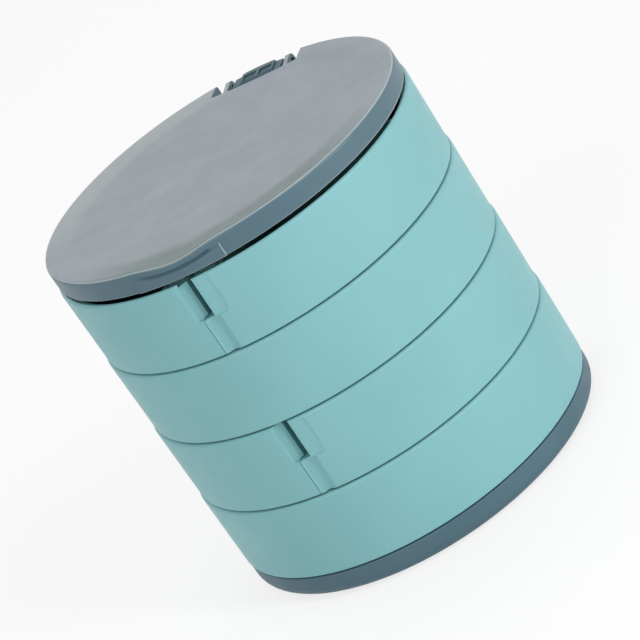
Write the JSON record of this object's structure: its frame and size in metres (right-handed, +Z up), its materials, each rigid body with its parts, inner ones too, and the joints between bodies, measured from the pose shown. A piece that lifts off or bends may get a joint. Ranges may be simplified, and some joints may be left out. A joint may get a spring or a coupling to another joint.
{
  "type": "jewelry box",
  "caption": "Round stacked jewelry box with swing-out half-moon drawers, a swivelling upper unit and a hinged lid with a mirror inside.",
  "frame": {"origin": "centre of the circle that the box stands on, on the underside of the feet", "axes": "+Z up, -Y to the front seam of the drawers, +Y to the lid hinge, +X to the right"},
  "size_m": [0.1, 0.1, 0.1004],
  "materials": {
    "teal_plastic": "fine satin",
    "slate_plastic": "satin",
    "steel": "bright plated",
    "rubber": "matte",
    "white_nylon": "satin",
    "mirror": "silvered glass",
    "foam": "soft adhesive foam"
  },
  "bodies": {
    "lower_unit": {"lower_tray": "teal_plastic", "lower_column": "teal_plastic", "lower_column_screw_left": "steel", "lower_column_screw_right": "steel", "lower_cross_divider": "teal_plastic", "lower_rear_divider": "teal_plastic", "base_shell": "slate_plastic", "rubber_foot_1": "rubber", "rubber_foot_2": "rubber", "rubber_foot_3": "rubber", "rubber_foot_4": "rubber", "base_screw_1": "steel", "base_screw_2": "steel", "base_screw_3": "steel", "base_screw_4": "steel", "swivel_post": "steel", "swivel_washer": "white_nylon", "swivel_cap_washer": "steel", "swivel_screw": "steel", "lower_pivot_screw_left": "steel", "lower_pivot_screw_right": "steel"},
    "upper_unit": {"upper_tray": "teal_plastic", "upper_column": "teal_plastic", "upper_column_screw_left": "steel", "upper_column_screw_right": "steel", "upper_cross_divider": "teal_plastic", "upper_rear_divider": "teal_plastic", "hinge_block": "slate_plastic", "hinge_block_screw": "steel", "lid_hinge_pin": "steel", "upper_pivot_screw_left": "steel", "upper_pivot_screw_right": "steel"},
    "lid": {"lid_shell": "slate_plastic", "mirror_frame": "white_nylon", "mirror_glass": "mirror", "mirror_pad": "foam"},
    "lower_left_drawer": {"lower_drawer_left": "teal_plastic", "lower_divider_left": "teal_plastic"},
    "lower_right_drawer": {"lower_drawer_right": "teal_plastic", "lower_divider_right": "teal_plastic"},
    "upper_left_drawer": {"upper_drawer_left": "teal_plastic", "upper_divider_left": "teal_plastic"},
    "upper_right_drawer": {"upper_drawer_right": "teal_plastic", "upper_divider_right": "teal_plastic"}
  },
  "joints": [
    {"name": "upper_swivel", "type": "hinge", "parent": "lower_unit", "child": "upper_unit", "pos_m": [0, 0.04, 0.0505], "axis": [0, 0, 1], "continuous": true},
    {"name": "lid_hinge", "type": "hinge", "parent": "upper_unit", "child": "lid", "pos_m": [0, 0.0462, 0.0972], "axis": [-1, 0, 0], "range_deg": [0, 105]},
    {"name": "lower_left_drawer_pivot", "type": "hinge", "parent": "lower_unit", "child": "lower_left_drawer", "pos_m": [-0.0255, 0.0365, 0.0396], "axis": [0, 0, -1], "range_deg": [0, 95]},
    {"name": "lower_right_drawer_pivot", "type": "hinge", "parent": "lower_unit", "child": "lower_right_drawer", "pos_m": [0.0255, 0.0365, 0.0396], "axis": [0, 0, 1], "range_deg": [0, 95]},
    {"name": "upper_left_drawer_pivot", "type": "hinge", "parent": "upper_unit", "child": "upper_left_drawer", "pos_m": [-0.0255, 0.0365, 0.0828], "axis": [0, 0, -1], "range_deg": [0, 95]},
    {"name": "upper_right_drawer_pivot", "type": "hinge", "parent": "upper_unit", "child": "upper_right_drawer", "pos_m": [0.0255, 0.0365, 0.0828], "axis": [0, 0, 1], "range_deg": [0, 95]}
  ]
}
